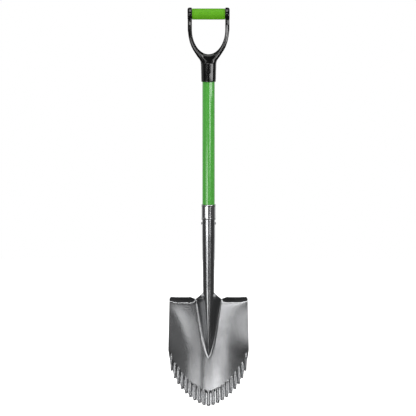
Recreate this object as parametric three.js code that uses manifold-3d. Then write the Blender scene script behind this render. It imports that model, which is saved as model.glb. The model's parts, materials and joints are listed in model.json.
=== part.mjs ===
// Garden spade: D-grip, fibreglass tube shaft, pressed round-point blade with a rolled socket.
// Millimetres. Z runs up the shaft, the blade's front faces -Y, X is the width.
import * as THREE from 'three';
import { mergeVertices } from 'three/addons/utils/BufferGeometryUtils.js';
import Module from 'manifold-3d';

const wasm = await Module();
wasm.setup();

// ---- driving dimensions ---------------------------------------------------------------------
const SEGMENTS = 48;         // facets round the turned pieces
const GAP = 0.3;             // free play left between neighbouring pieces

const SHEET = 2;             // blade sheet
const HALF_W = 122.5;        // widest half width of the blade
const TOP_HALF_W = 119.5;    // half width at the foot steps
const CORNER_Z = 170;        // where the straight side turns into the round point
const NOTCH_Z = 324.5;       // where the foot step meets the socket's flare
const STEP_Z = 330.5;        // free edge of the foot step
const STEP_Y = -9;           // how far forward the free edge stands
const STEP_CORNER = 7;       // outer corner radius of the foot step
const LIFT = Math.tan(9 * Math.PI / 180);    // blade sheet's slope at the foot steps
const CUP = 24;              // extra lengthwise hollow towards the point
const FROG_TIP = 143;        // lower end of the ridge
const SOCKET_TOP = 603;
const SOCKET_R = 19.9;       // socket's outer radius at the mouth
const NECK_R = 17;           // and at the neck
const NECK_Z = 352;
const SEAM_Z = 375;          // the rear seam opens below this height
const SEAM_X = 0.84;         // half of the seam's gap

const PITCH = 14.2;          // tooth spacing along the fan
const FAN_R = 148;           // the teeth crowd towards the sides as on a circle this big
const LEAN = 0.6 * Math.PI / 180;  // and lean this much more from tooth to tooth
const WAVE = 1.65;           // teeth and grooves stand this far out of the sheet
const TOOTH_LONG = 46;
const STRIP = 12;            // half the columns of the socket and ridge
const FIRST_P = 1.5;         // tooth phase of the strip's last column
const LAST_P = 10;           // tooth phase of the blade's side

const RIVET_Z = 557;
const RIVET_R = 3;
const SHAFT_R = 19;
const TUBE_BORE = 13;
const CORE_R = 12.7;
const SHAFT_LOW = 452;
const SHAFT_TOP = 1056;

const BAR_Z = 1199;          // axis of the cross bar
const SLEEVE_R = 17;
const BAR_R = 13;
const BAR_BORE = 8;
const EAR_R = 20;
const EAR_IN = 51;
const EAR_OUT = 64.6;
const ARM_X = 63.5;          // outer half width of the grip below the ears
const OPEN_A = 51.4;         // half width and half height of the hand opening's lower end
const OPEN_B = 76.5;
const OPEN_Z = 1151.6;
const SCREW_Z = 1021.8;

// ---- small helpers --------------------------------------------------------------------------
const mix = (a, b, t) => a + (b - a) * t;

const clamp = (v, lo, hi) => Math.min(hi, Math.max(lo, v));

function smooth(lo, hi, v) {
  const t = clamp((v - lo) / (hi - lo), 0, 1);
  return t * t * (3 - 2 * t);
}

function softMin(a, b, k) {
  if (k <= 0) return Math.min(a, b);
  const h = Math.max(k - Math.abs(a - b), 0) / k;
  return Math.min(a, b) - h * h * k / 4;
}

// Profile in (radius, height); it starts and ends on the axis, or closes on itself.
function turned(profile, segments = SEGMENTS) {
  const points = profile.map(([r, z]) => new THREE.Vector2(r, z));
  return new THREE.LatheGeometry(points, segments).rotateX(Math.PI / 2);
}

const alongX = (geometry) => geometry.rotateY(Math.PI / 2);

// A plain peg between two heights, used both as a piece and as a cutter.
function peg(radius, low, high, segments = 24) {
  return turned([[0, low], [radius, low], [radius, high], [0, high]], segments);
}

function toSolid(geometry) {
  const bare = geometry.clone();
  bare.deleteAttribute('normal');
  bare.deleteAttribute('uv');
  const merged = mergeVertices(bare, 1e-4);
  const all = merged.index.array;
  const kept = [];
  for (let i = 0; i < all.length; i += 3) {
    const [a, b, c] = [all[i], all[i + 1], all[i + 2]];
    if (a !== b && b !== c && c !== a) kept.push(a, b, c);
  }
  return new wasm.Manifold(new wasm.Mesh({
    numProp: 3,
    vertProperties: new Float32Array(merged.attributes.position.array),
    triVerts: new Uint32Array(kept),
  }));
}

function toGeometry(solid) {
  const mesh = solid.getMesh();
  const geometry = new THREE.BufferGeometry();
  geometry.setAttribute('position', new THREE.BufferAttribute(mesh.vertProperties, 3));
  geometry.setIndex(new THREE.BufferAttribute(mesh.triVerts, 1));
  geometry.computeVertexNormals();
  return geometry;
}

// Rings of equal count, skinned and closed with a fan at both ends.
function loft(rings) {
  const count = rings[0].length;
  const flat = rings.flat();
  const ends = [rings[0], rings[rings.length - 1]].map((ring) => {
    const mid = new THREE.Vector3();
    ring.forEach((p) => mid.add(p));
    return mid.divideScalar(count);
  });
  const first = flat.length;
  const triangles = [];
  for (let k = 0; k < count; k++) {
    const n = (k + 1) % count;
    for (let r = 0; r + 1 < rings.length; r++) {
      const [a, b] = [r * count + k, r * count + n];
      triangles.push([a, b, b + count], [a, b + count, a + count]);
    }
    const last = (rings.length - 1) * count;
    triangles.push([first, n, k], [first + 1, last + k, last + n]);
  }
  const points = [...flat, ...ends];
  let volume = 0;
  for (const [a, b, c] of triangles) {
    volume += points[a].dot(new THREE.Vector3().crossVectors(points[b], points[c]));
  }
  if (volume < 0) triangles.forEach((t) => t.reverse());
  const geometry = new THREE.BufferGeometry();
  geometry.setFromPoints(points);
  geometry.setIndex(triangles.flat());
  return geometry;
}

// ---- blade ----------------------------------------------------------------------------------
// The sheet leans back along the shaft, hollows a little lengthwise and dishes across.
function bowlY(z) {
  const down = 324 - z;
  return 19 - LIFT * down - CUP * (Math.max(down, 0) / 324) ** 2;
}

function wingY(x, z) {
  const dish = mix(38, 22, smooth(165, 324, z));
  return bowlY(z) - dish * (x / HALF_W) ** 2;
}

const socketR = (z) => mix(NECK_R, SOCKET_R, clamp((z - NECK_Z) / (515 - NECK_Z), 0, 1));

function frogHalf(z) {
  const up = Math.max(z - FROG_TIP, 0);
  return 0.165 * up + 8.2 * (1 - Math.exp(-up / 15));
}

function noseR(z) {
  if (z >= NECK_Z) return socketR(z);
  return Math.max(2.6, NECK_R * (z - FROG_TIP) / (NECK_Z - FROG_TIP));
}

function ribY(z) {
  if (z >= NECK_Z) return -socketR(z);
  const slope = (-NECK_R - bowlY(FROG_TIP)) / (NECK_Z - FROG_TIP);
  return -NECK_R - (NECK_Z - z) * slope;
}

// Half section of socket or ridge: a nose arc, then a straight wall out to the edge point q.
function section(z, qx, qy) {
  const r = noseR(z);
  const cy = ribY(z) + r;
  const d = Math.hypot(qx, qy - cy);
  const turn = Math.max(0, Math.atan2(qx, cy - qy) - Math.acos(Math.min(1, r / d)));
  return { r, cy, qx, qy, turn, wall: Math.sqrt(Math.max(0, d * d - r * r)) };
}

function sectionPoint(s, share) {
  const arc = s.r * s.turn;
  const run = share * (arc + s.wall);
  if (run <= arc) {
    const angle = run / s.r;
    return [s.r * Math.sin(angle), s.cy - s.r * Math.cos(angle)];
  }
  const left = arc + s.wall - run;
  return [s.qx - left * Math.cos(s.turn), s.qy - left * Math.sin(s.turn)];
}

function ridgeSection(z) {
  const c = frogHalf(z);
  return section(z, c, wingY(c, z));
}

const toothX = (p) => FAN_R * Math.sin(PITCH * p / FAN_R);

const outlineZ = (x) => CORNER_Z * (1 - (1 - Math.min(1, x / HALF_W) ** 1.5) ** (1 / 2.1));

// The point's edge steps from tooth to tooth: level under a crown, rising in the groove.
function edgeZ(p) {
  if (p > LAST_P - 0.5) {
    const foot = outlineZ(toothX(LAST_P)) + 2;
    return mix(foot, CORNER_Z + 2, 2 * (p - LAST_P + 0.5));
  }
  const k = Math.round(p);
  const q = p - k;
  const here = outlineZ(toothX(k));
  if (q < 0) return here + 2 * smooth(0.3, 0.5, -q);
  return mix(here, outlineZ(toothX(k + 1)) + 2, smooth(0.3, 0.5, q));
}

const toothReach = (x) => mix(TOOTH_LONG, 40, smooth(95, 110, x));

// Forward stand of the sheet: fingers round at both ends, and between them sunken grooves that
// are round at the top.
function toothWave(p, z) {
  const k = Math.round(p);
  const half = Math.floor(p) + 0.5;
  const ridgeTop = outlineZ(toothX(k)) + toothReach(toothX(k)) - 3.6;
  const grooveTop = outlineZ(toothX(half)) + toothReach(toothX(half)) - 3.6;
  const below = Math.max(0, edgeZ(k) + 3.6 - z);
  const raised = Math.hypot((p - k) * PITCH, Math.max(0, z - ridgeTop), below);
  const sunk = Math.hypot((p - half) * PITCH, Math.max(0, z - grooveTop));
  const fade = 1 - smooth(LAST_P - 0.6, LAST_P - 0.2, p);
  return WAVE * fade * (smooth(1.75, 5.35, sunk) - smooth(1.75, 5.35, raised));
}

// Front surface without the teeth: the ridge blended into the dished wings.
function plainY(x, z) {
  const wing = wingY(x, z);
  const high = bowlY(z) - ribY(z);
  if (high <= 0) return wing;
  const s = ridgeSection(z);
  let ridge = s.qy - (s.qx - x) * Math.tan(s.turn);
  if (x <= s.r * Math.sin(s.turn)) ridge = s.cy - Math.sqrt(s.r * s.r - x * x);
  return softMin(ridge, wing, Math.min(6, 0.5 * high));
}

function stripX(j, z) {
  const tooth = toothX(FIRST_P * j / STRIP);
  if (z <= 165) return tooth;
  return mix(tooth, sectionPoint(ridgeSection(z), j / STRIP)[0], smooth(165, 215, z));
}

const WING = 4 * (LAST_P - FIRST_P);
const phaseOf = (j) => (j <= STRIP ? FIRST_P * j / STRIP : FIRST_P + (j - STRIP) / 4);

function columnX(j, z) {
  const level = Math.min(z, NOTCH_Z);
  if (j <= STRIP) return stripX(j, level);
  const side = mix(HALF_W, TOP_HALF_W, clamp((level - 167) / (NOTCH_Z - 167), 0, 1));
  const across = (toothX(phaseOf(j)) - toothX(FIRST_P)) / (toothX(LAST_P) - toothX(FIRST_P));
  return mix(stripX(STRIP, level), side, across);
}

// Sideways shift that makes the teeth lean: upwards they draw in towards the middle.
function lean(p, z) {
  const up = Math.max(0, z - edgeZ(p));
  const run = Math.min(up, 50) * (1 - smooth(50, 130, up));
  return run * Math.tan(LEAN * p) * Math.min(1, (LAST_P - p) / 2);
}

// Foot step of one column: straight from the free edge, then a bend down into the wing.
function stepPoints(x) {
  const bendZ = mix(317, 321, smooth(95, TOP_HALF_W, x));
  const bend = new THREE.Vector2(plainY(x, bendZ), bendZ);
  const root = new THREE.Vector2(plainY(x, bendZ - 6), bendZ - 6);
  const flat = new THREE.Vector2(plainY(x, NOTCH_Z), NOTCH_Z);
  const full = new THREE.Vector2(STEP_Y, STEP_Z);
  const edge = flat.lerp(full, smooth(39, 59, x));
  const past = clamp(x - (TOP_HALF_W - STEP_CORNER), 0, STEP_CORNER - 0.3);
  const drop = STEP_CORNER - Math.sqrt(STEP_CORNER ** 2 - past ** 2);
  edge.lerpVectors(bend, edge, (edge.y - drop - bendZ) / (edge.y - bendZ));
  const start = bend.clone().lerp(edge, 0.35);
  const curve = new THREE.QuadraticBezierCurve(start, bend, root);
  const points = [edge, edge.clone().lerp(start, 0.5)];
  for (let k = 0; k <= 3; k++) points.push(curve.getPoint(k / 3));
  return points;
}

const SOCKET_ROWS = [SOCKET_TOP, 560, 515, 470, 430, 395, SEAM_Z, 362, NECK_Z, 344, 337, 331];
const BODY_ROWS = 12;
const TOOTH_ROWS = [52, 46, 39, 26, 12, 0];

// Column j of the blade from the foot step down to the toothed edge, as [x, y, z] points.
function bladeColumn(j) {
  const p = phaseOf(j);
  const topX = columnX(Math.max(j, STRIP), NOTCH_Z);
  const step = stepPoints(topX);
  const points = step.map((s) => {
    const x = columnX(j, s.y);
    return [x, j <= STRIP ? plainY(x, s.y) : s.x, s.y];
  });
  const edge = edgeZ(p);
  const reach = toothReach(columnX(j, edge)) / TOOTH_LONG;
  const root = step[step.length - 1].y;
  const levels = [];
  for (let k = 1; k <= BODY_ROWS; k++) {
    levels.push(mix(root, edge + TOOTH_ROWS[0] * reach, k / BODY_ROWS));
  }
  TOOTH_ROWS.slice(1).forEach((up) => levels.push(edge + up * reach));
  for (const z of levels) {
    const x = columnX(j, z) - lean(p, z);
    points.push([x, plainY(x, z) - toothWave(p, z), z]);
  }
  return points;
}

// One row of the socket from its front line round to the seam, or out to the flared edge.
function socketRow(z) {
  const open = clamp((z - NOTCH_Z) / (SEAM_Z - NOTCH_Z), 0, 1);
  const c = frogHalf(NOTCH_Z);
  let qx = mix(SEAM_X, c, (1 - open) ** 1.8);
  let qy = mix(wingY(c, NOTCH_Z), Math.sqrt(socketR(SEAM_Z) ** 2 - SEAM_X ** 2), open);
  if (z >= SEAM_Z) {
    qx = SEAM_X;
    qy = Math.sqrt(socketR(z) ** 2 - SEAM_X ** 2);
  }
  const s = section(z, qx, qy);
  const row = [];
  for (let j = 0; j <= STRIP; j++) {
    const [x, y] = sectionPoint(s, j / STRIP);
    row.push([x, y, z]);
  }
  return row;
}

function bladeSheet() {
  const half = STRIP + WING;
  const rows = SOCKET_ROWS.map(socketRow);
  const socketRows = rows.length;
  const columns = [];
  for (let j = 0; j <= half; j++) columns.push(bladeColumn(j));
  columns[0].forEach((_, i) => rows.push(columns.map((column) => column[i])));

  const points = [];
  const toBack = [];
  const ids = rows.map((row, r) => {
    const line = [];
    for (let c = 1 - row.length; c < row.length; c++) {
      const [x, y, z] = row[Math.abs(c)];
      line.push(points.length);
      points.push(new THREE.Vector3(Math.sign(c) * x, y, z));
      const rowShare = clamp((socketRows + 6 - r) / 3, 0, 1);
      const main = rowShare * smooth(STRIP, STRIP + 5, Math.abs(c));
      toBack.push(r < socketRows ? smooth(NOTCH_Z, 345, z) : main);
    }
    return line;
  });

  const front = [];
  for (let r = 0; r + 1 < ids.length; r++) {
    const n = Math.min(ids[r].length, ids[r + 1].length);
    const a = (ids[r].length - n) / 2;
    const b = (ids[r + 1].length - n) / 2;
    for (let c = 0; c + 1 < n; c++) {
      const [ul, ur] = [ids[r][a + c], ids[r][a + c + 1]];
      const [dl, dr] = [ids[r + 1][b + c], ids[r + 1][b + c + 1]];
      if (c + 1 <= (n - 1) / 2) front.push([dl, dr, ul], [dr, ur, ul]);
      else front.push([dl, dr, ur], [dl, ur, ul]);
    }
  }
  const skin = new THREE.BufferGeometry();
  skin.setFromPoints(points);
  skin.setIndex(front.flat());
  skin.computeVertexNormals();

  const count = points.length;
  const normals = skin.attributes.normal;
  for (let i = 0; i < count; i++) {
    const p = points[i];
    const normal = new THREE.Vector3().fromBufferAttribute(normals, i);
    const inward = normal.multiplyScalar(-SHEET);
    const x = Math.abs(p.x);
    const dx = plainY(x + 0.5, p.z) - plainY(Math.abs(x - 0.5), p.z);
    const dz = plainY(x, p.z + 0.5) - plainY(x, p.z - 0.5);
    const thick = SHEET * Math.min(1.6, Math.hypot(1, dx, dz));
    const push = new THREE.Vector3(0, thick, 0).lerp(inward, toBack[i]);
    points.push(p.clone().add(push));
  }

  const edges = new Set(front.flatMap(([a, b, c]) => [`${a},${b}`, `${b},${c}`, `${c},${a}`]));
  const all = [...front];
  for (const [a, b, c] of front) all.push([a + count, c + count, b + count]);
  for (const key of edges) {
    const [a, b] = key.split(',').map(Number);
    if (!edges.has(`${b},${a}`)) all.push([b, a, a + count], [b, a + count, b + count]);
  }
  const geometry = new THREE.BufferGeometry();
  geometry.setFromPoints(points);
  geometry.setIndex(all.flat());
  return geometry;
}

function makeBlade() {
  const hole = toSolid(alongX(peg(RIVET_R + GAP, -40, 40)).translate(0, 0, RIVET_Z));
  return toGeometry(toSolid(bladeSheet()).subtract(hole));
}

// ---- collar, rivet, shaft and core plugs ----------------------------------------------------
function makeCollar() {
  return turned([
    [20.3, 569], [21.5, 569], [22.05, 569.9], [22.2, 571.6], [22.05, 573.3], [21.7, 574.4],
    [21.85, 592], [22, 608], [22.05, 609], [22.4, 610], [22.5, 611.8], [22.35, 613.4],
    [21.8, 614.5], [21.2, 614.8], [19.6, 614.8], [19.4, 614.5], [19.4, 604.9], [20.3, 603.9],
    [20.3, 569],
  ], 64);
}

function makeRivet() {
  const half = [[3.9, 20.25], [3.8, 21.1], [3.2, 22], [2, 22.55], [0, 22.7]];
  const other = half.map(([r, z]) => [r, -z]).reverse();
  const profile = [...other, [RIVET_R, -20.25], [RIVET_R, 20.25], ...half];
  return alongX(turned(profile, 24)).translate(0, 0, RIVET_Z);
}

function makeShaft() {
  const tube = toSolid(turned([
    [TUBE_BORE, SHAFT_LOW], [15.8, SHAFT_LOW], [16, SHAFT_LOW + 0.3], [17.4, 515], [17.4, 604],
    [SHAFT_R, 606], [SHAFT_R, SHAFT_TOP - 0.8], [SHAFT_R - 0.8, SHAFT_TOP],
    [TUBE_BORE, SHAFT_TOP], [TUBE_BORE, SHAFT_LOW],
  ]));
  const rivetHole = toSolid(alongX(peg(RIVET_R + GAP, -40, 40)).translate(0, 0, RIVET_Z));
  return toGeometry(tube.subtract(rivetHole).subtract(screwHole(2.9, -30, 0)));
}

// Cutter along Y at the grip screw, between two depths.
function screwHole(radius, from, to) {
  return toSolid(peg(radius, -to, -from).rotateX(Math.PI / 2).translate(0, 0, SCREW_Z));
}

function makeSocketPlug() {
  const plug = toSolid(turned([
    [0, 456], [CORE_R - 1, 456], [CORE_R, 457], [CORE_R, 603], [CORE_R - 1, 604], [0, 604],
  ]));
  const hole = toSolid(alongX(peg(RIVET_R + GAP, -40, 40)).translate(0, 0, RIVET_Z));
  return toGeometry(plug.subtract(hole));
}

function makeGripPlug() {
  const plug = toSolid(turned([
    [0, 980], [CORE_R - 1, 980], [CORE_R, 981], [CORE_R, 1051], [CORE_R - 1, 1052], [0, 1052],
  ]));
  return toGeometry(plug.subtract(screwHole(2.9, -30, 5)));
}

// ---- grip -----------------------------------------------------------------------------------
// Sections of the yoke from the socket up to the ears: [z, half width, half depth, squareness].
const YOKE = [
  [1046, 23.7, 23.7, 2], [1052, 24.5, 22.8, 2.1], [1058, 26.5, 21.3, 2.3], [1062, 29.3, 20.1, 2.5],
  [1066, 32.3, 18.7, 2.8], [1070, 35.2, 17.4, 3], [1075, 38.6, 16.2, 3.3], [1080, 41.7, 15, 3.6],
  [1090, 48.1, 13.6, 4], [1100, 53, 12.7, 4.4], [1115, 58.2, 12.1, 4.8], [1130, 61.4, 12, 5],
  [1151, ARM_X, 12, 5], [1166, ARM_X, 12.3, 5], [1176, ARM_X, 13.6, 5], [1185, ARM_X, 16, 4.6],
  [1192, ARM_X, 18, 4.2], [BAR_Z, ARM_X, 18.6, 4.2],
];

function yokeBody() {
  return loft(YOKE.map(([z, hx, hy, n]) => {
    const ring = [];
    for (let k = 0; k < 56; k++) {
      const t = 2 * Math.PI * k / 56;
      const x = hx * Math.sign(Math.cos(t)) * Math.abs(Math.cos(t)) ** (2 / n);
      const y = hy * Math.sign(Math.sin(t)) * Math.abs(Math.sin(t)) ** (2 / n);
      ring.push(new THREE.Vector3(x, y, z));
    }
    return ring;
  }));
}

// The hand opening: straight sides over a half ellipse, flared towards front and back.
function handOpening() {
  const layers = [[-30, 4.5], [-12.6, 4.5], [-11.4, 2.4], [-9.6, 0.9], [-6.5, 0]];
  const all = [...layers, ...layers.map(([y, o]) => [-y, o]).reverse()];
  return loft(all.map(([y, flare]) => {
    const ring = [new THREE.Vector3(-EAR_IN - flare, y, 1240)];
    for (let k = 0; k <= 40; k++) {
      const t = Math.PI + Math.PI * k / 40;
      const x = (OPEN_A + flare) * Math.cos(t);
      ring.push(new THREE.Vector3(x, y, OPEN_Z + (OPEN_B + flare) * Math.sin(t)));
    }
    ring.push(new THREE.Vector3(EAR_IN + flare, y, 1240));
    return ring;
  }));
}

function ear(side) {
  const round = [];
  for (let k = 0; k <= 6; k++) {
    const t = Math.PI / 2 * k / 6;
    round.push([EAR_R - 6 + 6 * Math.cos(t), EAR_OUT - 6 + 6 * Math.sin(t)]);
  }
  const profile = [[0, EAR_IN], [EAR_R - 1.5, EAR_IN], [EAR_R, EAR_IN + 1.5], ...round, [0, EAR_OUT]];
  const disc = alongX(turned(profile));
  if (side < 0) disc.rotateZ(Math.PI);
  return toSolid(disc.translate(0, 0, BAR_Z));
}

function makeYoke() {
  const socket = toSolid(turned([
    [0, 991.6], [21.7, 991.6], [22.3, 992.3], [22.6, 1003], [23, 1021], [23.6, 1040],
    [23.9, 1049], [22.8, 1052], [16, 1061], [0, 1063],
  ], 64));
  const bar = toSolid(alongX(peg(BAR_R, -EAR_IN - 4, EAR_IN + 4, 40)).translate(0, 0, BAR_Z));
  const bore = toSolid(alongX(peg(BAR_BORE, -80, 80, 32)).translate(0, 0, BAR_Z));
  const shaftBore = toSolid(turned([
    [0, 980], [19.35, 980], [19.35, 1059.5], [18.85, 1060], [0, 1060],
  ]));
  return toGeometry(toSolid(yokeBody())
    .subtract(toSolid(handOpening()))
    .add(ear(1))
    .add(ear(-1))
    .add(bar)
    .add(socket)
    .subtract(bore)
    .subtract(shaftBore)
    .subtract(screwHole(6, -30, -20.5))
    .subtract(screwHole(2.9, -30, 0)));
}

function makeSleeve() {
  const end = 50.7;
  const outer = [
    [SLEEVE_R - 1, -end], [SLEEVE_R - 0.3, -end + 0.3], [SLEEVE_R, -end + 1],
    [SLEEVE_R, -end + 4.6], [SLEEVE_R - 0.5, -end + 5], [SLEEVE_R - 0.5, -end + 5.6],
    [SLEEVE_R, -end + 6],
  ];
  const mirrored = outer.map(([r, x]) => [r, -x]).reverse();
  const inner = [[BAR_R + GAP, end], [BAR_R + GAP, -end]];
  const profile = [...outer, ...mirrored, ...inner, outer[0]];
  return alongX(turned(profile)).translate(0, 0, BAR_Z);
}

function makeEndPlug(side) {
  const profile = [
    [0, 54], [BAR_BORE - 1, 54], [BAR_BORE - GAP, 54.8], [BAR_BORE - GAP, 63.6],
    [BAR_BORE - 1, 64.2], [0, 64.2],
  ];
  const plug = alongX(turned(profile, 32));
  if (side < 0) plug.rotateZ(Math.PI);
  return plug.translate(0, 0, BAR_Z);
}

// Pan-head screw, head outward (-Y), with a cross recess.
function makeScrew() {
  const body = toSolid(turned([
    [0, -4], [1, -4], [2.5, -1.5], [2.5, 20.8], [5.2, 20.8], [5.2, 21.6], [4.6, 22.4],
    [3, 22.8], [0, 22.9],
  ], 32));
  const slot = toSolid(new THREE.BoxGeometry(5.6, 1.1, 2.6).translate(0, 0, 23.1));
  const cross = toSolid(new THREE.BoxGeometry(1.1, 5.6, 2.6).translate(0, 0, 23.1));
  const turnedOut = toGeometry(body.subtract(slot).subtract(cross));
  return turnedOut.rotateX(Math.PI / 2).translate(0, 0, SCREW_Z);
}

// ---- assembly -------------------------------------------------------------------------------
const steel = { color: 0x8a8c8f, roughness: 0.35, metalness: 1 };
const bright = { color: 0xc9ccd0, roughness: 0.12, metalness: 1 };
const zinc = { color: 0xaeb1b4, roughness: 0.3, metalness: 1 };
const shaftGreen = { color: 0x3f8f37, roughness: 0.25, metalness: 0 };
const sleeveGreen = { color: 0x4f9e1c, roughness: 0.6, metalness: 0 };
const black = { color: 0x0c0c0d, roughness: 0.3, metalness: 0 };
const blackened = { color: 0x242426, roughness: 0.4, metalness: 1 };
const core = { color: 0xb99a6b, roughness: 0.7, metalness: 0 };

const PIECES = [
  ['blade', makeBlade(), steel],
  ['collar', makeCollar(), bright],
  ['socket_rivet', makeRivet(), zinc],
  ['shaft', makeShaft(), shaftGreen],
  ['socket_core_plug', makeSocketPlug(), core],
  ['grip_core_plug', makeGripPlug(), core],
  ['grip_yoke', makeYoke(), black],
  ['grip_sleeve', makeSleeve(), sleeveGreen],
  ['grip_screw', makeScrew(), blackened],
  ['bar_end_plug_left', makeEndPlug(-1), black],
  ['bar_end_plug_right', makeEndPlug(1), black],
];

// The blade reaches further forward than back: the middle of its depth is put on y = 0.
PIECES[0][1].computeBoundingBox();
const depthBox = PIECES[0][1].boundingBox.clone();
for (const [, geometry] of PIECES) {
  geometry.computeBoundingBox();
  depthBox.union(geometry.boundingBox);
}
const middle = (depthBox.min.y + depthBox.max.y) / 2;

const spade = new THREE.Group();
spade.name = 'garden_spade';
for (const [name, geometry, look] of PIECES) {
  geometry.translate(0, -middle, -depthBox.min.z);
  const mesh = new THREE.Mesh(geometry, new THREE.MeshStandardMaterial(look));
  mesh.name = name;
  spade.add(mesh);
}

export default spade;
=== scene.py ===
"""Garden spade with a D-grip, tube shaft and toothed round-point blade, on a pale studio floor.

Shapes are worked out in millimetres about the shaft's axis, with z = 0 at the lowest tooth tip,
and put into the CAD frame, in metres, when each piece is made.
"""

import json
import math

import bmesh
import bpy
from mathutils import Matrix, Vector

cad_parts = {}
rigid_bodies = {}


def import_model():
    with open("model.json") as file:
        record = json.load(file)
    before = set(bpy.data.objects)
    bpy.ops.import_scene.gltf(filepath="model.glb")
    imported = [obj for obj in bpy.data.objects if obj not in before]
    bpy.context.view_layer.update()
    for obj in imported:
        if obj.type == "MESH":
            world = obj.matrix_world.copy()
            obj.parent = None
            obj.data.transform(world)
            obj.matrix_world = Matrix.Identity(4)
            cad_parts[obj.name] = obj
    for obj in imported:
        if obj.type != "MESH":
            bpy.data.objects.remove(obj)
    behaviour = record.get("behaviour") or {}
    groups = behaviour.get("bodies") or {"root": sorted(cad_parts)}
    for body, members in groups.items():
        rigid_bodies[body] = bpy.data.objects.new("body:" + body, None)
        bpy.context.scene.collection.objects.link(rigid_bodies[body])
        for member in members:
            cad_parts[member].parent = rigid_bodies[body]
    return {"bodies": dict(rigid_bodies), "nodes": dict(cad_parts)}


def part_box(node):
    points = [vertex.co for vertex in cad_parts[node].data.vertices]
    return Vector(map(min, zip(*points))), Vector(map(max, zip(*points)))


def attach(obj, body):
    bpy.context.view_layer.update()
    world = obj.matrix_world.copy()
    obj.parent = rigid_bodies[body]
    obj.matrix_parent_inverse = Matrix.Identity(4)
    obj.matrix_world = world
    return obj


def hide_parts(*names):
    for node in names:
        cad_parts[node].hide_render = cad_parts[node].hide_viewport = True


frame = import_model()
# Whatever the start-up scene holds besides the frame goes.
for stray in list(bpy.data.objects):
    if stray not in frame["nodes"].values() and stray not in frame["bodies"].values():
        bpy.data.objects.remove(stray)
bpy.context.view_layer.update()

MM = 0.001
SAME_PLACE = 1e-6       # metres within which points are merged

# ---- places taken from the frame, in millimetres ----------------------------------------------
shaft_low, shaft_high = (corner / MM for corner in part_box("shaft"))
collar_low, collar_high = (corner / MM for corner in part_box("collar"))
_, blade_high = (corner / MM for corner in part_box("blade"))
_, yoke_high = (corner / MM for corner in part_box("grip_yoke"))
sleeve_low, sleeve_high = (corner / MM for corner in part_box("grip_sleeve"))
rivet_low, rivet_high = (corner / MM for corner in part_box("socket_rivet"))
screw_low, screw_high = (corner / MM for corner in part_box("grip_screw"))
plug_low, plug_high = (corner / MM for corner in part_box("bar_end_plug_right"))

AXIS_Y = (shaft_low.y + shaft_high.y) / 2
SOCKET_TOP = blade_high.z
BAR_Z = (sleeve_low.z + sleeve_high.z) / 2
SLEEVE_R = (sleeve_high.z - sleeve_low.z) / 2
SLEEVE_END = sleeve_high.x
EAR_OUT = yoke_high.x
EAR_R = yoke_high.z - BAR_Z
RIVET_Z = (rivet_low.z + rivet_high.z) / 2
SCREW_Z = (screw_low.z + screw_high.z) / 2
SHAFT_R = shaft_high.x
HALF_W = 122.5          # the wings' half width, which the blade's shape is worked out from


# ---- small helpers ----------------------------------------------------------------------------
def mix(a, b, t):
    return a + (b - a) * t


def clamp(v, lo, hi):
    return min(hi, max(lo, v))


def smooth(lo, hi, v):
    t = clamp((v - lo) / (hi - lo), 0.0, 1.0)
    return t * t * (3 - 2 * t)


def soft_min(a, b, k):
    if k <= 0:
        return min(a, b)
    h = max(k - abs(a - b), 0) / k
    return min(a, b) - h * h * k / 4


def linked(name, data):
    """A new object, put into the scene."""
    obj = bpy.data.objects.new(name, data)
    bpy.context.scene.collection.objects.link(obj)
    return obj


def shade_smooth(mesh):
    for polygon in mesh.polygons:
        polygon.use_smooth = True


def keep_sharp(mesh, degrees):
    """Edges that turn by more than this stay hard."""
    mesh.set_sharp_from_angle(angle=math.radians(degrees))


def new_mesh(name, verts, faces):
    """A mesh from points in millimetres about the shaft's axis."""
    mesh = bpy.data.meshes.new(name)
    mesh.from_pydata([(x * MM, (y + AXIS_Y) * MM, z * MM) for x, y, z in verts], [], faces)
    return mesh


def new_object(name, verts, faces):
    """A clean closed body with outward faces, from points as for new_mesh."""
    mesh = new_mesh(name, verts, faces)
    bm = bmesh.new()
    bm.from_mesh(mesh)
    bmesh.ops.remove_doubles(bm, verts=bm.verts, dist=SAME_PLACE)
    bmesh.ops.recalc_face_normals(bm, faces=bm.faces)
    bm.to_mesh(mesh)
    bm.free()
    shade_smooth(mesh)
    keep_sharp(mesh, 30)
    return linked(name, mesh)


def add_modifier(obj, kind, **settings):
    modifier = obj.modifiers.new(kind.title(), kind)
    for key, value in settings.items():
        setattr(modifier, key, value)


def bake(obj):
    """Applies the modifiers, so that cutters can go."""
    graph = bpy.context.evaluated_depsgraph_get()
    done = bpy.data.meshes.new_from_object(obj.evaluated_get(graph))
    obj.modifiers.clear()
    obj.data = done


def cut(obj, cutter, operation="DIFFERENCE"):
    add_modifier(obj, "BOOLEAN", object=cutter, operation=operation, solver="EXACT")
    bake(obj)
    bpy.data.objects.remove(cutter)


def lathe(profile, segments, axis="Z", at=(0, 0, 0)):
    """Points and faces of a closed turned body. The profile, (radius, height), ends on the axis
    or closes on itself. Along X, heights become x; along Y, heights point to the front."""
    closed = profile[0][0] > 0
    verts, faces = [], []
    for r, h in profile:
        for k in range(segments):
            a = 2 * math.pi * k / segments
            u, v = r * math.cos(a), r * math.sin(a)
            point = {"Z": (u, v, h), "X": (h, u, v), "Y": (u, -h, v)}[axis]
            verts.append(tuple(p + q for p, q in zip(point, at)))
    rings = len(profile)
    for i in range(rings if closed else rings - 1):
        n = (i + 1) % rings
        for k in range(segments):
            m = (k + 1) % segments
            faces.append((i * segments + k, i * segments + m, n * segments + m, n * segments + k))
    return verts, faces


def turned(name, profile, segments=72, axis="Z", at=(0, 0, 0)):
    return new_object(name, *lathe(profile, segments, axis, at))


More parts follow.
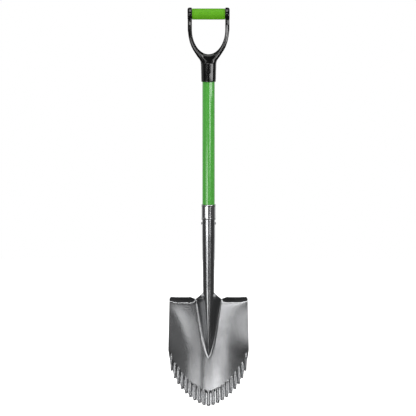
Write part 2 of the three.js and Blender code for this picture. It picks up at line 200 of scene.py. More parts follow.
def rounded(corners, radius, steps=3):
    """The profile with each inner corner replaced by a small curve."""
    points = [corners[0]]
    for before, here, after in zip(corners, corners[1:], corners[2:]):
        b, h, a = Vector(before), Vector(here), Vector(after)
        start = h + (b - h).normalized() * min(radius, (b - h).length * 0.45)
        end = h + (a - h).normalized() * min(radius, (a - h).length * 0.45)
        for k in range(steps + 1):
            t = k / steps
            points.append(tuple(start.lerp(h, t).lerp(h.lerp(end, t), t)))
    points.append(corners[-1])
    return points


def loft(rings):
    """Points and faces of closed rings of equal count, capped at both ends."""
    count = len(rings[0])
    verts = [point for ring in rings for point in ring]
    faces = []
    for r in range(len(rings) - 1):
        for k in range(count):
            n = (k + 1) % count
            faces.append((r * count + k, r * count + n, (r + 1) * count + n, (r + 1) * count + k))
    faces.append(tuple(range(count)))
    faces.append(tuple(range((len(rings) - 1) * count, len(rings) * count)))
    return verts, faces


# ---- node materials ---------------------------------------------------------------------------
NOISE_LOW = 0.3         # noise stays mostly between these two values
NOISE_HIGH = 0.7


class Shader:
    """A Principled material and a few short ways to wire procedural nodes into it."""

    def __init__(self, name, **values):
        self.material = bpy.data.materials.new(name)
        self.material.use_nodes = True
        self.nodes = self.material.node_tree.nodes
        self.links = self.material.node_tree.links
        self.bsdf = self.nodes["Principled BSDF"]
        self.place = self.add("ShaderNodeTexCoord").outputs["Object"]
        for key, value in values.items():
            self.bsdf.inputs[key.replace("_", " ")].default_value = value

    def add(self, kind, **settings):
        node = self.nodes.new(kind)
        for key, value in settings.items():
            setattr(node, key, value)
        return node

    def noise(self, scale, stretch=(1, 1, 1), detail=3.0, roughness=0.5):
        """Noise in object space; scale is per metre and stretch squeezes it along an axis."""
        mapping = self.add("ShaderNodeMapping")
        mapping.inputs["Scale"].default_value = stretch
        self.links.new(self.place, mapping.inputs["Vector"])
        node = self.add("ShaderNodeTexNoise")
        node.inputs["Scale"].default_value = scale
        node.inputs["Detail"].default_value = detail
        node.inputs["Roughness"].default_value = roughness
        self.links.new(mapping.outputs["Vector"], node.inputs["Vector"])
        return node.outputs["Fac"]

    def ramp(self, source, to_low, to_high, low=NOISE_LOW, high=NOISE_HIGH):
        """The source's range from low to high, stretched to the range from to_low to to_high."""
        node = self.add("ShaderNodeMapRange")
        for key, value in zip(
            ("From Min", "From Max", "To Min", "To Max"), (low, high, to_low, to_high)
        ):
            node.inputs[key].default_value = value
        self.links.new(source, node.inputs["Value"])
        return node.outputs["Result"]

    def blend(self, factor, one, two):
        """A colour between two; each is a colour tuple or a socket."""
        node = self.add("ShaderNodeMix", data_type="RGBA")
        self.links.new(factor, node.inputs["Factor"])
        for slot, value in ((6, one), (7, two)):
            if isinstance(value, tuple):
                node.inputs[slot].default_value = (*value, 1)
            else:
                self.links.new(value, node.inputs[slot])
        return node.outputs[2]

    def maths(self, operation, a, b):
        node = self.add("ShaderNodeMath", operation=operation)
        for slot, value in enumerate((a, b)):
            if isinstance(value, (int, float)):
                node.inputs[slot].default_value = value
            else:
                self.links.new(value, node.inputs[slot])
        return node.outputs[0]

    def bump(self, height, strength, distance):
        node = self.add("ShaderNodeBump")
        node.inputs["Strength"].default_value = strength
        node.inputs["Distance"].default_value = distance
        self.links.new(height, node.inputs["Height"])
        if self.bsdf.inputs["Normal"].links:
            self.links.new(self.bsdf.inputs["Normal"].links[0].from_socket, node.inputs["Normal"])
        self.links.new(node.outputs["Normal"], self.bsdf.inputs["Normal"])

    def drive(self, key, source):
        self.links.new(source, self.bsdf.inputs[key])

    def coat(self, source, colours, roughness):
        """Colour and roughness that both follow one source."""
        self.drive("Base Color", self.blend(self.ramp(source, 0, 1), *colours))
        self.drive("Roughness", self.ramp(source, *roughness))


def steel_material():
    s = Shader("blade_steel", Metallic=1.0)
    mottled = s.noise(28, detail=5, roughness=0.6)
    sand = s.noise(900, detail=3)
    tone = s.ramp(mottled, 0, 1)
    s.drive("Base Color", s.blend(tone, (0.44, 0.445, 0.455), (0.50, 0.505, 0.515)))
    s.drive("Roughness", s.maths("ADD", s.ramp(mottled, 0.155, 0.185), s.ramp(sand, 0, 0.03)))
    s.bump(sand, 0.2, 0.0001)
    s.bump(mottled, 0.05, 0.0006)
    return s.material


def chrome_material():
    s = Shader("collar_chrome", Metallic=1.0)
    s.coat(s.noise(160, detail=4), ((0.78, 0.79, 0.81), (0.86, 0.86, 0.87)), (0.07, 0.12))
    s.bump(s.noise(300, stretch=(1, 1, 0.2)), 0.02, 0.00005)
    return s.material


def small_metal_material(name, colours, roughness):
    """Metal of a rivet or screw, with a fine haze."""
    s = Shader(name, Metallic=1.0)
    haze = s.noise(500, detail=3)
    s.coat(haze, colours, roughness)
    s.bump(haze, 0.05, 0.0002)
    return s.material


def zinc_material():
    colours = ((0.5, 0.51, 0.53), (0.66, 0.67, 0.68))
    return small_metal_material("fastener_zinc", colours, (0.22, 0.34))


def screw_material():
    colours = ((0.02, 0.02, 0.022), (0.04, 0.04, 0.042))
    return small_metal_material("screw_black", colours, (0.3, 0.42))


def shaft_material():
    s = Shader("shaft_green", Metallic=0.0, IOR=1.5)
    streak = s.noise(160, stretch=(1, 1, 0.03), detail=4)
    s.drive("Base Color", s.blend(s.ramp(streak, 0, 1), (0.075, 0.36, 0.05), (0.09, 0.42, 0.06)))
    s.drive("Roughness", s.ramp(s.noise(60, detail=4), 0.09, 0.12))
    s.bsdf.inputs["Specular IOR Level"].default_value = 0.9
    s.bump(streak, 0.04, 0.00002)
    return s.material


def sleeve_material():
    s = Shader("sleeve_green", Metallic=0.0, IOR=1.48)
    s.coat(s.noise(45, detail=4), ((0.1, 0.37, 0.007), (0.115, 0.4, 0.008)), (0.4, 0.5))
    s.bsdf.inputs["Specular IOR Level"].default_value = 0.2
    s.bump(s.noise(300, detail=3), 0.04, 0.0003)
    return s.material


def black_material(name, roughness):
    s = Shader(name, Metallic=0.0, IOR=1.5)
    s.bsdf.inputs["Specular IOR Level"].default_value = 0.9
    colours = ((0.0006, 0.0006, 0.0007), (0.0012, 0.0012, 0.0013))
    s.coat(s.noise(70, detail=5), colours, roughness)
    s.bump(s.noise(900, detail=2), 0.03, 0.00008)
    return s.material


def wood_material():
    s = Shader("core_wood", Metallic=0.0, Roughness=0.7)
    rings = s.noise(220, stretch=(1, 1, 0.06), detail=5)
    tone = s.ramp(rings, 0, 1, 0.35, 0.65)
    s.drive("Base Color", s.blend(tone, (0.36, 0.22, 0.1), (0.55, 0.4, 0.22)))
    s.drive("Roughness", s.ramp(rings, 0.6, 0.8))
    s.bump(rings, 0.2, 0.0004)
    return s.material


# ---- blade ------------------------------------------------------------------------------------
TOP_HALF_W = 119.5      # half width at the foot steps
CORNER_Z = 170          # where the straight side turns into the round point
NOTCH_Z = 324.5         # where the foot step meets the socket's flare
STEP_Z = 330.5          # free edge of the foot step
STEP_Y = -9             # how far forward the free edge stands
STEP_CORNER = 7         # outer corner radius of the foot step
ROOT_Z = 324            # level of the sheet's foot, just under the foot steps
ROOT_Y = 19             # the sheet's middle stands this far behind the axis there
LIFT = math.tan(math.radians(9))    # the sheet's slope at the foot steps
CUP = 24                # extra lengthwise hollow towards the point
DISH_POINT = 38         # sideways hollow at the point
DISH_ROOT = 22          # and at the foot steps
DISH_Z = 165            # the sideways hollow is full below this height
SIDE_Z = 167            # the wings narrow upwards from here
FROG_TIP = 143          # lower end of the ridge
FROG_SLOPE = 0.165      # the ridge widens this much for each millimetre up,
FROG_START = 8.2        # on top of this half width,
FROG_RUN = 15           # which is gained over about this height
NOSE_R = 2.6            # smallest radius of the ridge's front line
RIDGE_BLEND = 6         # width of the soft join of ridge and wing
SOCKET_R = 19.9         # socket's outer radius at the mouth
MOUTH_Z = 515           # the socket is parallel above this height
NECK_R = 17             # outer radius at the neck
NECK_Z = 352
SEAM_Z = 375            # the rear seam opens below this height
SEAM_X = 0.84           # half of the seam's gap
SHEET = 2.0
PITCH = 14.2            # tooth spacing along the fan
FAN_R = 148             # the teeth crowd towards the sides as on a circle this big
WAVE = 1.9              # teeth and grooves stand this far out of the sheet
LEAN = math.radians(0.6)  # each tooth leans this much more than the one before
TOOTH_LONG = 46         # length of the middle teeth
TOOTH_SIDE = 40         # and of the side ones
TOOTH_ROUND = 3.6       # the fingers' ends are round about points this far from the end
TOOTH_FLANK = 5.4       # a finger's flank ends this far from its middle line
GROOVE_FADE = 8         # a groove comes up to the surface over this length at its top
EDGE_RISE = 2           # the edge rises this much between two teeth
LEAN_FULL = 50          # the teeth lean up to this height above the edge,
LEAN_END = 130          # and the shift is gone here
STRIP_LOW = 165         # the middle columns follow the teeth below this height
STRIP_HIGH = 215        # and the ridge above this one
FIRST_P = 1.5           # tooth phase where the ridge's columns end
LAST_P = 10.0           # tooth phase of the blade's side
STRIP = 42              # columns from the middle to the first phase
PER_TOOTH = 14          # columns for each tooth outside the strip
WING = int(PER_TOOTH * (LAST_P - FIRST_P))
SOCKET_ROWS = 24
FLARE_ROWS = 20
BODY_ROWS = 56          # rows from the foot step down to the teeth
TOOTH_ROWS = 34
TOOTH_ZONE = 55         # the closer rows begin this far above the edge


def bowl_y(z):
    down = ROOT_Z - z
    return ROOT_Y - LIFT * down - CUP * (max(down, 0) / ROOT_Z) ** 2


def wing_y(x, z):
    dish = mix(DISH_POINT, DISH_ROOT, smooth(DISH_Z, ROOT_Z, z))
    return bowl_y(z) - dish * (x / HALF_W) ** 2


def socket_r(z):
    return mix(NECK_R, SOCKET_R, clamp((z - NECK_Z) / (MOUTH_Z - NECK_Z), 0, 1))


def frog_half(z):
    up = max(z - FROG_TIP, 0)
    return FROG_SLOPE * up + FROG_START * (1 - math.exp(-up / FROG_RUN))


def nose_r(z):
    if z >= NECK_Z:
        return socket_r(z)
    return max(NOSE_R, NECK_R * (z - FROG_TIP) / (NECK_Z - FROG_TIP))


def rib_y(z):
    if z >= NECK_Z:
        return -socket_r(z)
    slope = (-NECK_R - bowl_y(FROG_TIP)) / (NECK_Z - FROG_TIP)
    return -NECK_R - (NECK_Z - z) * slope


def section(z, qx, qy):
    """Half section of socket or ridge: a nose arc, then a straight wall to the edge point q."""
    r = nose_r(z)
    cy = rib_y(z) + r
    d = math.hypot(qx, qy - cy)
    turn = max(0.0, math.atan2(qx, cy - qy) - math.acos(min(1.0, r / d)))
    return r, cy, qx, qy, turn, math.sqrt(max(0.0, d * d - r * r))


def section_point(s, share):
    """The point a share of the way along a half section, as (x, y)."""
    r, cy, qx, qy, turn, wall = s
    arc = r * turn
    run = share * (arc + wall)
    if run <= arc:
        angle = run / r
        return r * math.sin(angle), cy - r * math.cos(angle)
    left = arc + wall - run
    return qx - left * math.cos(turn), qy - left * math.sin(turn)


def ridge_section(z):
    c = frog_half(z)
    return section(z, c, wing_y(c, z))


def plain_y(x, z):
    """Front surface without the teeth: the ridge blended into the dished wings."""
    wing = wing_y(x, z)
    high = bowl_y(z) - rib_y(z)
    if high <= 0:
        return wing
    r, cy, qx, qy, turn, _ = ridge_section(z)
    if x <= r * math.sin(turn):
        ridge = cy - math.sqrt(r * r - x * x)
    else:
        ridge = qy - (qx - x) * math.tan(turn)
    return soft_min(ridge, wing, min(RIDGE_BLEND, 0.5 * high))


def tooth_x(p):
    """Place across the blade of tooth phase p; whole phases are the teeth's middle lines."""
    return FAN_R * math.sin(PITCH * p / FAN_R)


def outline_z(x):
    """Height of the round point's outline."""
    return CORNER_Z * (1 - (1 - min(1, x / HALF_W) ** 1.5) ** (1 / 2.1))


def edge_z(p):
    """The point's edge goes from tooth to tooth: a round lip under each finger, then a rise."""
    if p > LAST_P - 0.5:
        foot = outline_z(tooth_x(LAST_P)) + EDGE_RISE
        return mix(foot, CORNER_Z + EDGE_RISE, 2 * (p - LAST_P + 0.5))
    k = math.floor(p + 0.5)
    q = p - k
    here = outline_z(tooth_x(k))
    if q < 0:
        return here + EDGE_RISE * smooth(0.15, 0.5, -q)
    return mix(here, outline_z(tooth_x(k + 1)) + EDGE_RISE, smooth(0.22, 0.5, q))


def tooth_reach(x):
    return mix(TOOTH_LONG, TOOTH_SIDE, smooth(95, 110, x))


def tooth_wave(p, z):
    """Forward stand of the pressed teeth: fingers round at both ends, with sunken grooves that
    are round at the top between them."""
    k = math.floor(p + 0.5)
    half = math.floor(p) + 0.5
    ridge_top = outline_z(tooth_x(k)) + tooth_reach(tooth_x(k)) - TOOTH_ROUND
    groove_top = outline_z(tooth_x(half)) + tooth_reach(tooth_x(half))
    below = max(0.0, edge_z(k) + TOOTH_ROUND - z)
    away = math.hypot((p - k) * PITCH, max(0.0, z - ridge_top), below)
    raised = 1 - smooth(0.3, TOOTH_FLANK, away)
    sunk = 1 - smooth(1.7, TOOTH_FLANK, abs(p - half) * PITCH)
    sunk *= 1 - smooth(groove_top - GROOVE_FADE, groove_top, z)
    fade = 1 - smooth(LAST_P - 0.6, LAST_P - 0.2, p)
    return WAVE * fade * (raised - sunk)


def lean(p, z):
    """Sideways shift that makes the teeth lean: upwards they draw in towards the middle."""
    up = max(0.0, z - edge_z(p))
    run = min(up, LEAN_FULL) * (1 - smooth(LEAN_FULL, LEAN_END, up))
    return run * math.tan(LEAN * p) * min(1, (LAST_P - p) / 2)


def strip_x(j, z):
    tooth = tooth_x(FIRST_P * j / STRIP)
    if z <= STRIP_LOW:
        return tooth
    ridge = section_point(ridge_section(z), j / STRIP)[0]
    return mix(tooth, ridge, smooth(STRIP_LOW, STRIP_HIGH, z))


def phase_of(j):
    if j <= STRIP:
        return FIRST_P * j / STRIP
    return FIRST_P + (j - STRIP) / PER_TOOTH


def column_x(j, z):
    level = min(z, NOTCH_Z)
    if j <= STRIP:
        return strip_x(j, level)
    side = mix(HALF_W, TOP_HALF_W, clamp((level - SIDE_Z) / (NOTCH_Z - SIDE_Z), 0, 1))
    across = (tooth_x(phase_of(j)) - tooth_x(FIRST_P)) / (tooth_x(LAST_P) - tooth_x(FIRST_P))
    return mix(strip_x(STRIP, level), side, across)


def step_points(x):
    """Foot step of one column, as (y, z): straight from the free edge, then a bend."""
    bend_z = mix(317, 321, smooth(95, TOP_HALF_W, x))
    bend = Vector((plain_y(x, bend_z), bend_z))
    root = Vector((plain_y(x, bend_z - 6), bend_z - 6))
    flat = Vector((plain_y(x, NOTCH_Z), NOTCH_Z))
    edge = flat.lerp(Vector((STEP_Y, STEP_Z)), smooth(39, 59, x))
    past = clamp(x - (TOP_HALF_W - STEP_CORNER), 0, STEP_CORNER - 0.3)
    drop = STEP_CORNER - math.sqrt(STEP_CORNER ** 2 - past ** 2)
    edge = bend.lerp(edge, (edge.y - drop - bend_z) / (edge.y - bend_z))
    start = bend.lerp(edge, 0.35)
    points = [edge.lerp(start, k / 5) for k in range(5)]
    for k in range(9):
        t = k / 8
        points.append(start.lerp(bend, t).lerp(bend.lerp(root, t), t))
    return points


def blade_column(j):
    """Column j from the foot step down to the toothed edge."""
    p = phase_of(j)
    step = step_points(column_x(max(j, STRIP), NOTCH_Z))
    points = []
    for y, z in step:
        x = column_x(j, z)
        points.append((x, plain_y(x, z) if j <= STRIP else y, z))
    edge = edge_z(p)
    reach = tooth_reach(column_x(j, edge)) / TOOTH_LONG
    root = step[-1].y
    low = outline_z(tooth_x(p)) + TOOTH_ZONE * reach
    levels = [mix(root, low, k / BODY_ROWS) for k in range(1, BODY_ROWS + 1)]
    levels += [mix(low, edge, k / TOOTH_ROWS) for k in range(1, TOOTH_ROWS + 1)]
    for z in levels:
        x = column_x(j, z) - lean(p, z)
        points.append((x, plain_y(x, z) - tooth_wave(p, z), z))
    return points


def socket_row(z):
    """A row of the socket, from its front line round to the seam or the flared edge."""
    opened = clamp((z - NOTCH_Z) / (SEAM_Z - NOTCH_Z), 0, 1)
    c = frog_half(NOTCH_Z)
    qx = mix(SEAM_X, c, (1 - opened) ** 1.8)
    qy = mix(wing_y(c, NOTCH_Z), math.sqrt(socket_r(SEAM_Z) ** 2 - SEAM_X ** 2), opened)
    if z >= SEAM_Z:
        qx = SEAM_X
        qy = math.sqrt(socket_r(z) ** 2 - SEAM_X ** 2)
    s = section(z, qx, qy)
    return [(*section_point(s, j / STRIP), z) for j in range(STRIP + 1)]


def make_blade():
    """The front surface as rows of points, mirrored at the middle and thickened backwards."""
    half = STRIP + WING
    levels = [mix(SOCKET_TOP, SEAM_Z, k / SOCKET_ROWS) for k in range(SOCKET_ROWS + 1)]
    levels += [mix(SEAM_Z, NOTCH_Z, k / FLARE_ROWS) for k in range(1, FLARE_ROWS)]
    rows = [socket_row(z) for z in levels]
    columns = [blade_column(j) for j in range(half + 1)]
    rows += [[column[i] for column in columns] for i in range(len(columns[0]))]
    verts, ids = [], []
    for row in rows:
        line = []
        for c in range(1 - len(row), len(row)):
            x, y, z = row[abs(c)]
            line.append(len(verts))
            verts.append((math.copysign(x, c) if c else 0.0, y, z))
        ids.append(line)
    faces = []
    for upper, lower in zip(ids, ids[1:]):
        n = min(len(upper), len(lower))
        a = (len(upper) - n) // 2
        b = (len(lower) - n) // 2
        for c in range(n - 1):
            faces.append((lower[b + c], lower[b + c + 1], upper[a + c + 1], upper[a + c]))
    mesh = new_mesh("blade_sheet", verts, faces)
    shade_smooth(mesh)
    obj = linked("blade_sheet", mesh)
    add_modifier(obj, "SOLIDIFY", thickness=SHEET * MM, offset=-1, use_even_offset=False)
    bake(obj)
    keep_sharp(obj.data, 50)
    return obj


# ---- grip -------------------------------------------------------------------------------------
EAR_IN = 51
EAR_ROUND = 6           # radius of the ears' outer rim
ARM_X = 64              # outer half width below the ears; smoothing takes some of it away
OPEN_A = 50.9           # half width and half height of the hand opening's lower end
OPEN_B = 76
OPEN_Z = 1151.6
OPEN_TOP = 1240         # the cutter ends here, above the ears
BAR_R = 13
BAR_BORE = 8
GAP = 0.3               # free play between neighbouring pieces
SHAFT_GAP = 0.35        # and between the shaft and the grip
VOXEL = 0.6             # grid of the remesh that rounds the moulding
SMOOTHING = 22
# Sections of the yoke from the socket up to the ears: z, half width, half depth, squareness.
YOKE = [
    (1046, 23.7, 23.7, 2), (1052, 24.5, 22.8, 2.1), (1058, 26.5, 21.3, 2.3),
    (1062, 29.3, 20.1, 2.5), (1066, 32.3, 18.7, 2.8), (1070, 35.2, 17.4, 3),
    (1075, 38.6, 16.2, 3.3), (1080, 41.7, 15, 3.6),
    (1090, 48.1, 13.6, 4), (1100, 53, 12.7, 4.4), (1115, 58.2, 12.1, 4.8), (1130, 61.4, 12, 5),
    (1151, ARM_X, 12, 5), (1166, ARM_X, 12.3, 5), (1176, ARM_X, 13.6, 5), (1185, ARM_X, 16, 4.6),
    (1192, ARM_X, 18, 4.2), (BAR_Z, ARM_X, 18.6, 4.2),
]


def signed_power(v, n):
    return math.copysign(abs(v) ** (2 / n), v)


def yoke_body():
    rings = []
    for z, hx, hy, n in YOKE:
        ring = []
        for k in range(96):
            a = 2 * math.pi * k / 96
            ring.append((hx * signed_power(math.cos(a), n), hy * signed_power(math.sin(a), n), z))
        rings.append(ring)
    return new_object("yoke_body", *loft(rings))


def hand_opening():
    """Straight sides over a half ellipse, flared towards front and back."""
    layers = [(-30, 4.5), (-12.6, 4.5), (-11.4, 2.4), (-9.6, 0.9), (-6.5, 0)]
    layers += [(-y, flare) for y, flare in reversed(layers)]
    rings = []
    for y, flare in layers:
        ring = [(-EAR_IN - flare, y, OPEN_TOP)]
        for k in range(65):
            t = math.pi + math.pi * k / 64
            x = (OPEN_A + flare) * math.cos(t)
            ring.append((x, y, OPEN_Z + (OPEN_B + flare) * math.sin(t)))
        ring.append((EAR_IN + flare, y, OPEN_TOP))
        rings.append(ring)
    return new_object("hand_opening", *loft(rings))


def ear(side):
    half = [(0.0, EAR_IN), (EAR_R - 1.5, EAR_IN), (EAR_R, EAR_IN + 1.5)]
    for k in range(9):
        t = math.pi / 2 * k / 8
        across, along = EAR_ROUND * math.cos(t), EAR_ROUND * math.sin(t)
        half.append((EAR_R - EAR_ROUND + across, EAR_OUT - EAR_ROUND + along))
    half.append((0.0, EAR_OUT))
    profile = [(r, side * h) for r, h in half]
    return turned("ear", profile, 72, "X", (0, 0, BAR_Z))


def make_yoke():
    yoke = yoke_body()
    cut(yoke, hand_opening())
    cut(yoke, ear(1), "UNION")
    cut(yoke, ear(-1), "UNION")
    socket = [(0.0, 991.6), (21.7, 991.6), (22.3, 992.3), (22.6, 1003), (23, 1021), (23.6, 1040),
              (23.9, 1049), (22.8, 1052), (16, 1061), (0.0, 1063)]
    cut(yoke, turned("socket", socket), "UNION")
    add_modifier(yoke, "REMESH", mode="VOXEL", voxel_size=VOXEL * MM, use_smooth_shade=True)
    add_modifier(yoke, "SMOOTH", factor=0.5, iterations=SMOOTHING)
    bake(yoke)
    reach = EAR_IN + 3
    bar = [(0.0, -reach), (BAR_R, -reach), (BAR_R, reach), (0.0, reach)]
    cut(yoke, turned("bar", bar, 72, "X", (0, 0, BAR_Z)), "UNION")
    bore = [(0.0, -80), (BAR_BORE, -80), (BAR_BORE, 80), (0.0, 80)]
    cut(yoke, turned("bore", bore, 48, "X", (0, 0, BAR_Z)))
    tube_r = SHAFT_R + SHAFT_GAP
    tube = [(0.0, 980), (tube_r, 980), (tube_r, 1060), (0.0, 1060)]
    cut(yoke, turned("tube", tube))
    recess = [(0.0, 20.5), (6, 20.5), (6, 22.4), (6.9, 23.9), (6.9, 30), (0.0, 30)]
    cut(yoke, turned("recess", recess, 48, "Y", (0, 0, SCREW_Z)))
    shade_smooth(yoke.data)
    keep_sharp(yoke.data, 40)
    yoke.name = "yoke_moulding"
    return yoke


def make_sleeve():
    end = SLEEVE_END
    outer = [(SLEEVE_R - 1.6, -end), (SLEEVE_R, -end + 1.2), (SLEEVE_R, -end + 4.6)]
    outer += [(SLEEVE_R - 0.5, -end + 5), (SLEEVE_R - 0.5, -end + 5.6), (SLEEVE_R, -end + 6)]
    full = outer + [(r, -x) for r, x in reversed(outer)]
    inner = [(BAR_R + GAP, end), (BAR_R + GAP, -end)]
    profile = rounded([*full, *inner], 0.5)
    return turned("sleeve_tube", profile, 96, "X", (0, 0, BAR_Z))


def make_screw():
    profile = rounded([(0.0, -4), (1, -4), (2.5, -1.5), (2.5, 20.8), (5.2, 20.8), (5.2, 21.6),
                       (4.6, 22.4), (3, 22.8), (0.0, 22.9)], 0.3)
    screw = turned("screw_body", profile, 48, "Y", (0, 0, SCREW_Z))
    for sx, sz in ((2.8, 0.55), (0.55, 2.8)):
        bar = [(x, y, SCREW_Z + z) for y in (-24.5, -21.7) for x, z in
               ((-sx, -sz), (sx, -sz), (sx, sz), (-sx, sz))]
        cut(screw, new_object("slot", *loft([bar[:4], bar[4:]])))
    shade_smooth(screw.data)
    keep_sharp(screw.data, 35)
    return screw


def make_end_plug(side):
    low, high = plug_low.x, plug_high.x
    fit = BAR_BORE - GAP
    half = [(0.0, low), (BAR_BORE - 1, low), (fit, low + 0.8), (fit, high - 0.6)]
    half += [(BAR_BORE - 1, high), (3.4, high), (2.6, high - 0.8), (0.0, high - 0.8)]
    profile = [(r, side * h) for r, h in half]
    word = "right" if side > 0 else "left"
    return turned(f"end_plug_{word}", profile, 48, "X", (0, 0, BAR_Z))


# ---- collar, rivet and shaft ------------------------------------------------------------------
TUBE_BORE = 13          # inner radius of the shaft


def make_collar():
    low, high = collar_low.z, collar_high.z
    body = 21.9
    bead = [(body, 5.6), (body, 5.4), (22.15, 4.5), (22.35, 2.9), (22.15, 1.1), (21.6, 0.2)]
    outer = [(r, low + h) for r, h in reversed(bead)]
    outer += [(body, low + 6.4), (body, high - 6.4)]
    outer += [(r, high - h) for r, h in bead]
    inner = [(21.2, high), (19.6, high), (19.4, high - 0.3), (19.4, high - 9.9),
             (20.3, high - 10.9), (20.3, low), (21.2, low)]
    return turned("collar_ferrule", outer + inner, 128)


def make_rivet():
    half = [(3.9, 20.25), (3.8, 21.1), (3.2, 22), (2, 22.55), (0.0, 22.7)]
    profile = [(r, -h) for r, h in reversed(half)] + [(3.0, -20.25), (3.0, 20.25)] + half
    return turned("rivet_body", profile, 48, "X", (0, 0, RIVET_Z))


def make_shaft():
    low, high = shaft_low.z, shaft_high.z
    profile = [(TUBE_BORE, low), (15.8, low), (16, low + 0.3), (17.4, MOUTH_Z), (17.4, 604),
               (SHAFT_R, 606), (SHAFT_R, high - 0.8), (SHAFT_R - 0.8, high), (TUBE_BORE, high)]
    return turned("shaft_tube", profile, 128)


# ---- putting the pieces on the frame ----------------------------------------------------------
steel, chrome, zinc = steel_material(), chrome_material(), zinc_material()
black, wood = black_material("grip_black", (0.08, 0.12)), wood_material()
plug_black = black_material("plug_black", (0.42, 0.55))


def place(piece, node, material):
    piece.data.materials.clear()
    piece.data.materials.append(material)
    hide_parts(node)
    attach(piece, "root")
    hidden = frame["nodes"][node]
    hidden.hide_render = True
    hidden.hide_viewport = True


place(make_blade(), "blade", steel)
place(make_collar(), "collar", chrome)
place(make_rivet(), "socket_rivet", zinc)
place(make_shaft(), "shaft", shaft_material())
place(make_yoke(), "grip_yoke", black)
place(make_sleeve(), "grip_sleeve", sleeve_material())
place(make_screw(), "grip_screw", screw_material())
place(make_end_plug(-1), "bar_end_plug_left", plug_black)
place(make_end_plug(1), "bar_end_plug_right", plug_black)

# The core plugs are out of sight, so the CAD solids themselves stand for them.
for core in ("socket_core_plug", "grip_core_plug"):
    plug = frame["nodes"][core]
    plug.data.materials.clear()
    plug.data.materials.append(wood)


# ---- floor, light and camera ------------------------------------------------------------------
def make_floor():
    """A pale square that glows a little, and neither lights the tool nor shows in it."""
    mesh = bpy.data.meshes.new("floor")
    far = 6.0
    corners = [(-far, -far, 0), (far, -far, 0), (far, far, 0), (-far, far, 0)]
    mesh.from_pydata(corners, [], [(0, 1, 2, 3)])
    floor = linked("floor", mesh)
    s = Shader("floor_pale", Metallic=0.0)
    s.coat(s.noise(3, detail=2), ((0.7, 0.7, 0.7), (0.74, 0.74, 0.74)), (0.8, 0.9))
    s.bsdf.inputs["Specular IOR Level"].default_value = 0.0
    s.bsdf.inputs["Emission Color"].default_value = (1, 1, 1, 1)
    s.bsdf.inputs["Emission Strength"].default_value = 0.97
    mesh.materials.append(s.material)
    floor.visible_glossy = False
    floor.visible_diffuse = False


def softbox(name, width, height, radiance):
    """An area light that the camera doesn't see. Its power is set from its radiance."""
    light = bpy.data.lights.new(name, "AREA")
    light.shape = "RECTANGLE"
    light.size = width
    light.size_y = height
    light.energy = radiance * math.pi * width * height
    obj = linked(name, light)
    obj.visible_camera = False
    return obj


def panel(name, azimuths, heights, radiance, away=3.0):
    """An upright softbox round the tool, between two azimuths in degrees and two heights in
    metres. Azimuth 0 is the side that the blade's hollow faces, and seen from there positive
    goes to the right."""
    turn = math.radians(sum(azimuths) / 2)
    width = 2 * away * math.tan(math.radians(azimuths[1] - azimuths[0]) / 2)
    obj = softbox(name, width, heights[1] - heights[0], radiance)
    x, y = away * math.sin(turn), AXIS_Y * MM - away * math.cos(turn)
    obj.location = (x, y, sum(heights) / 2)
    inward = Vector((-math.sin(turn), math.cos(turn), 0))
    obj.rotation_euler = inward.to_track_quat("-Z", "Y").to_euler()


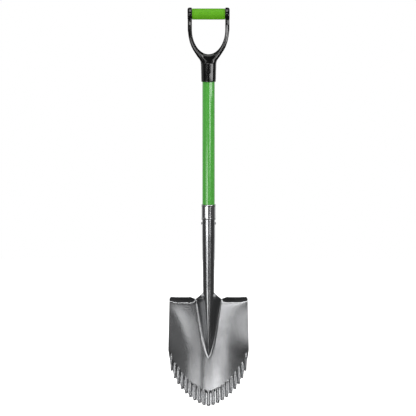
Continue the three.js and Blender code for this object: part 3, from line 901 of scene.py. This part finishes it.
make_floor()
panel("left_floor", (-38, -12), (0.0, 0.2), 1.4)
panel("left_low", (-40, -12), (0.2, 0.58), 3.6)
panel("left_edge", (-60, -40), (0.34, 0.58), 1.0)
panel("left_high", (-33, -9), (0.95, 1.16), 2.8)
panel("left_fill", (-66, -24), (1.46, 1.85), 1.1)
panel("left_mid", (-22, -6), (1.46, 1.62), 1.6)
panel("top_front", (-24, 8), (1.6, 2.0), 3.6)
panel("right_high", (14, 36), (1.38, 1.56), 2.5)
panel("right_fill", (38, 62), (1.0, 1.8), 0.12)
panel("right_low", (4, 38), (0.05, 0.4), 0.12)
panel("right_grip", (16, 38), (0.37, 0.76), 5.0, 6.0)
panel("right_near", (38, 70), (0.9, 1.03), 4.0, 0.8)
panel("rear_left", (-112, -88), (0.6, 1.3), 0.4)
panel("back_left", (-165, -125), (0.1, 1.5), 0.8)
panel("back_right", (120, 160), (0.1, 1.5), 0.7)
# One softbox overhead looks straight down.
softbox("overhead", 2.0, 2.0, 2.0).location = (0, -1, 3.2)

WORLD_GLOSSY = 0.07      # brightness of the surroundings in reflections,
WORLD_DIFFUSE = 0.62     # as fill light,
WORLD_SEEN = 1.0         # and looked at directly


def make_world():
    """Plain white surroundings whose strength depends on the kind of ray."""
    world = bpy.data.worlds.new("studio")
    bpy.context.scene.world = world
    world.use_nodes = True
    tree = world.node_tree
    path = tree.nodes.new("ShaderNodeLightPath")
    fill = tree.nodes.new("ShaderNodeMix")
    seen = tree.nodes.new("ShaderNodeMix")
    fill.inputs[2].default_value = WORLD_GLOSSY
    tree.links.new(fill.outputs[0], seen.inputs[2])
    for level, ray, value in (
        (fill, "Is Diffuse Ray", WORLD_DIFFUSE),
        (seen, "Is Camera Ray", WORLD_SEEN),
    ):
        level.data_type = "FLOAT"
        level.inputs[3].default_value = value
        tree.links.new(path.outputs[ray], level.inputs["Factor"])
    background = tree.nodes["Background"]
    tree.links.new(seen.outputs[0], background.inputs["Strength"])
    background.inputs["Color"].default_value = (1, 1, 1, 1)


FRAME_WIDTH = 1274.5     # millimetres across the picture at the shaft
LENS = 1000.0
SENSOR = 36
CAMERA_UP = math.radians(4)
AIM_X = -1.7             # the picture's middle is this far from the tool's, in millimetres,
AIM_Z = 604              # and this high


def make_camera():
    """A long lens far away in front of the tool, slightly raised."""
    data = bpy.data.cameras.new("camera")
    data.lens = LENS
    data.sensor_width = SENSOR
    data.clip_end = 100
    camera = linked("camera", data)
    away = FRAME_WIDTH * MM * LENS / SENSOR
    aim = Vector((AIM_X * MM, AXIS_Y * MM, AIM_Z * MM))
    back = Vector((0, -math.cos(CAMERA_UP), math.sin(CAMERA_UP)))
    camera.location = aim + back * away
    camera.rotation_euler = (-back).to_track_quat("-Z", "Y").to_euler()
    bpy.context.scene.camera = camera


make_world()
make_camera()
bpy.context.scene.view_settings.view_transform = "Standard"
